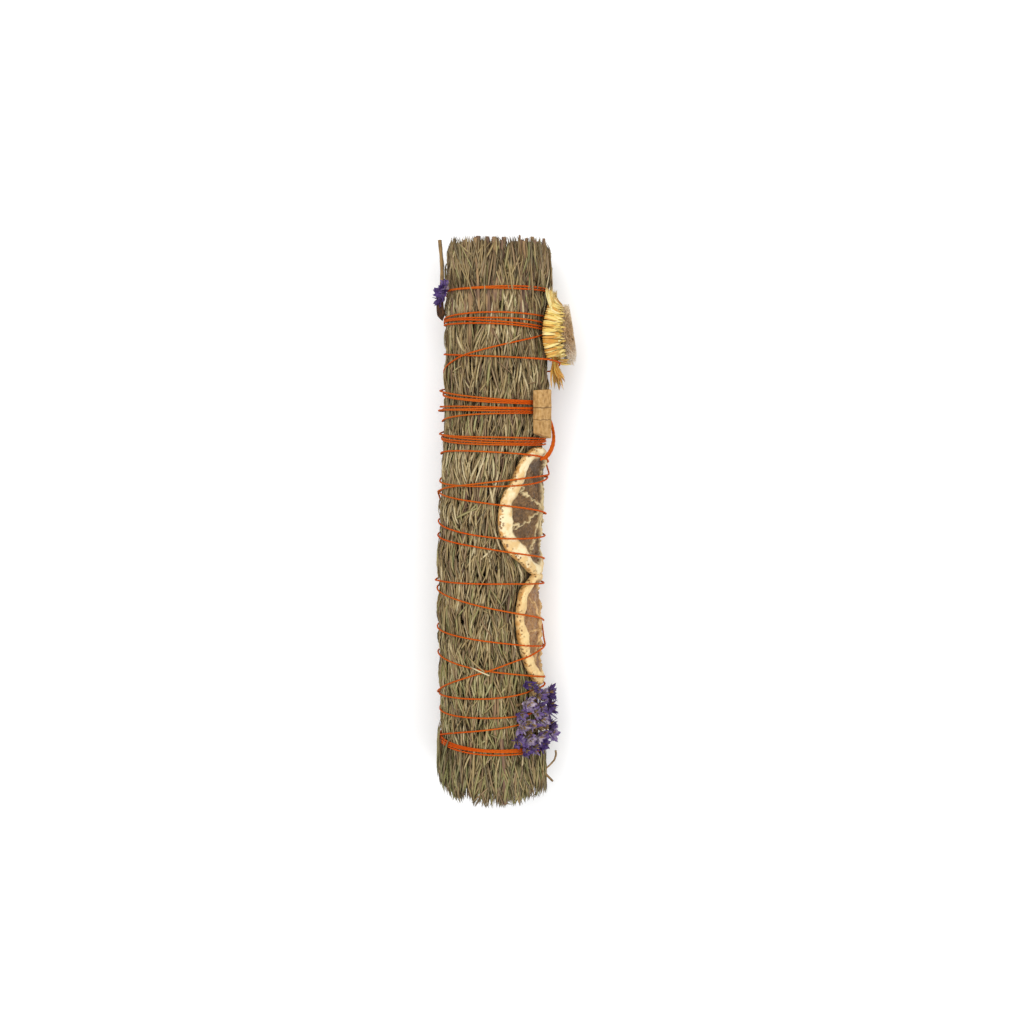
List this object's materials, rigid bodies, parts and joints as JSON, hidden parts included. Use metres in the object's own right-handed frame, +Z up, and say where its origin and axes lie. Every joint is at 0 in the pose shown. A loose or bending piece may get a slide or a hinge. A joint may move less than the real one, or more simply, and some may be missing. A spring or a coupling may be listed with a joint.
{
  "type": "dried herb smudge stick",
  "caption": "Bundle of dried rosemary wound with thread, for burning as incense, with citrus slices, a strawflower, sea lavender and a wood chip tied to its side.",
  "frame": {"origin": "under the middle of the bundle, on the surface that it lies on", "axes": "+Y along the bundle toward the end where most stems are cut, +X toward the side that holds the citrus slices, +Z up"},
  "size_m": [0.0554, 0.2154, 0.0441],
  "materials": {
    "dried_rosemary": "matte",
    "orange_thread": "satin",
    "dried_citrus": "satin",
    "papery_bracts": "satin",
    "fluffy_disc": "matte",
    "sea_lavender": "matte",
    "pale_wood": "matte"
  },
  "bodies": {
    "root": {"rosemary_sprig_01": "dried_rosemary", "rosemary_sprig_02": "dried_rosemary", "rosemary_sprig_03": "dried_rosemary", "rosemary_sprig_04": "dried_rosemary", "rosemary_sprig_05": "dried_rosemary", "rosemary_sprig_06": "dried_rosemary", "rosemary_sprig_07": "dried_rosemary", "rosemary_sprig_08": "dried_rosemary", "rosemary_sprig_09": "dried_rosemary", "rosemary_sprig_10": "dried_rosemary", "rosemary_sprig_11": "dried_rosemary", "rosemary_sprig_12": "dried_rosemary", "rosemary_sprig_13": "dried_rosemary", "rosemary_sprig_14": "dried_rosemary", "rosemary_sprig_15": "dried_rosemary", "rosemary_sprig_16": "dried_rosemary", "rosemary_sprig_17": "dried_rosemary", "rosemary_sprig_18": "dried_rosemary", "rosemary_sprig_19": "dried_rosemary", "binding_thread": "orange_thread", "citrus_slice_upper": "dried_citrus", "citrus_slice_lower": "dried_citrus", "strawflower_bracts": "papery_bracts", "strawflower_disc": "fluffy_disc", "sea_lavender_spray": "sea_lavender", "sea_lavender_sprig": "sea_lavender", "wood_chip": "pale_wood"}
  },
  "joints": []
}
